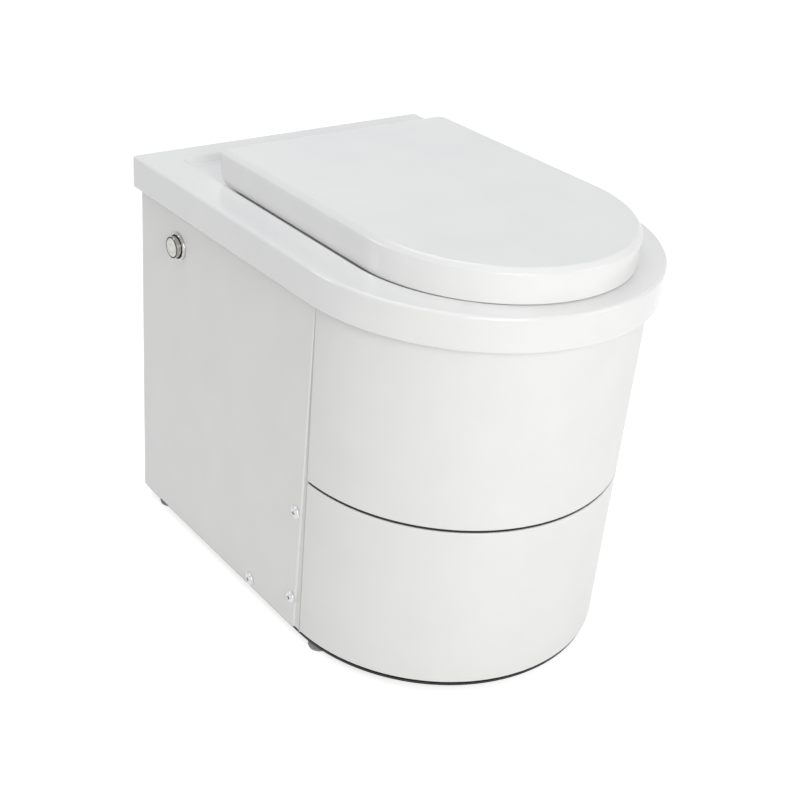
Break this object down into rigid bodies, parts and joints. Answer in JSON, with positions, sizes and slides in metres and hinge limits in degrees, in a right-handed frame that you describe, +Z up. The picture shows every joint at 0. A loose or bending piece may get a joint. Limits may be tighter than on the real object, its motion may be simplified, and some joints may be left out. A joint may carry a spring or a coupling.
{
  "type": "incinerating toilet",
  "caption": "D-shaped white cabinet with slab seat and lid, steel bowl with swinging hatch flaps, burn chamber, ash drawer at the foot, side push button and rear flue collar.",
  "frame": {"origin": "On the floor, under the middle of the whole toilet's box, flue collar included.", "axes": "+Z up. The rounded nose with the ash door faces -Y and the flue collar faces +Y. The side with the start button is -X."},
  "size_m": [0.461, 0.6859, 0.557],
  "materials": {
    "white_moulding": "gloss",
    "white_paint": "semi-gloss",
    "black_paint": "matte",
    "dark_paint": "satin",
    "grey_plastic": "matte",
    "black_plastic": "matte",
    "board": "satin",
    "galvanised": "satin",
    "stainless": "brushed",
    "zinc": "satin",
    "hot_steel": "oxidised",
    "bronze": "satin",
    "chrome": "polished",
    "aluminium": "satin",
    "fibre": "matte",
    "ceramic": "matte",
    "rubber_grey": "matte",
    "rubber_dark": "matte"
  },
  "bodies": {
    "cabinet": {"top_cover": "white_moulding", "side_panel_left": "white_paint", "side_panel_right": "white_paint", "rear_panel": "white_paint", "upper_front_panel": "white_paint", "base_plate": "black_paint", "levelling_feet": "grey_plastic", "foot_locknuts": "zinc", "frame_left": "galvanised", "frame_right": "galvanised", "burner_shelf": "galvanised", "side_screws_left": "zinc", "side_screws_right": "zinc", "rear_screws": "zinc", "bowl": "stainless", "bowl_gasket": "rubber_dark", "hatch_chute": "stainless", "hatch_bushes": "bronze", "hatch_motor": "dark_paint", "hatch_motor_bracket": "galvanised", "chamber_liner": "stainless", "chamber_insulation": "fibre", "chamber_casing": "galvanised", "heating_element": "hot_steel", "temperature_probe": "stainless", "catalyst_housing": "stainless", "catalyst_core": "ceramic", "suction_box": "galvanised", "blower_housing": "dark_paint", "blower_motor": "dark_paint", "flue_collar": "stainless", "control_box": "grey_plastic", "control_board": "board", "power_inlet": "black_plastic", "button_bezel": "chrome", "button_spring": "zinc", "button_nut": "zinc", "button_switch": "black_plastic", "hinge_posts": "white_moulding", "hinge_pins": "stainless", "hinge_wing_nuts": "white_moulding", "runner_channels": "zinc"},
    "seat": {"seat": "white_moulding", "seat_hinge_arms": "stainless", "seat_buffers": "rubber_grey"},
    "lid": {"lid": "white_moulding", "lid_hinge_lugs": "white_moulding", "lid_buffers": "rubber_grey"},
    "ash_drawer": {"ash_door": "white_paint", "drawer_tray": "galvanised", "ash_pan": "stainless", "drawer_slides": "zinc"},
    "start_button": {"button_cap": "chrome"},
    "hatch_left": {"hatch_flap_left": "stainless", "hatch_shaft_left": "stainless", "hatch_gear_left": "bronze"},
    "hatch_right": {"hatch_flap_right": "stainless", "hatch_shaft_right": "stainless", "hatch_gear_right": "bronze"},
    "impeller": {"blower_impeller": "aluminium"}
  },
  "joints": [
    {"name": "seat_hinge", "type": "hinge", "parent": "cabinet", "child": "seat", "pos_m": [0, 0.1435, 0.538], "axis": [-1, 0, 0], "range_deg": [0, 100]},
    {"name": "lid_hinge", "type": "hinge", "parent": "seat", "child": "lid", "pos_m": [0, 0.1435, 0.538], "axis": [1, 0, 0], "range_deg": [-102, 0]},
    {"name": "ash_drawer_slide", "type": "slide", "parent": "cabinet", "child": "ash_drawer", "axis": [0, -1, 0], "range_m": [0, 0.33]},
    {"name": "start_button_press", "type": "slide", "parent": "cabinet", "child": "start_button", "axis": [1, 0, 0], "range_m": [0, 0.003], "stiffness_N_per_m": 400, "deforming": ["button_spring"]},
    {"name": "hatch_left_swing", "type": "hinge", "parent": "cabinet", "child": "hatch_left", "pos_m": [-0.078, -0.1125, 0.3748], "axis": [0, 1, 0], "range_deg": [0, 82]},
    {"name": "hatch_right_swing", "type": "hinge", "parent": "cabinet", "child": "hatch_right", "pos_m": [0.078, -0.1125, 0.3748], "axis": [0, 1, 0], "range_deg": [-82, 0]},
    {"name": "blower_impeller_spin", "type": "hinge", "parent": "cabinet", "child": "impeller", "pos_m": [0, 0.1875, 0.29], "axis": [1, 0, 0], "continuous": true}
  ],
  "couplings": [
    {"joint": "hatch_right_swing", "follows": "hatch_left_swing", "ratio": -1}
  ]
}
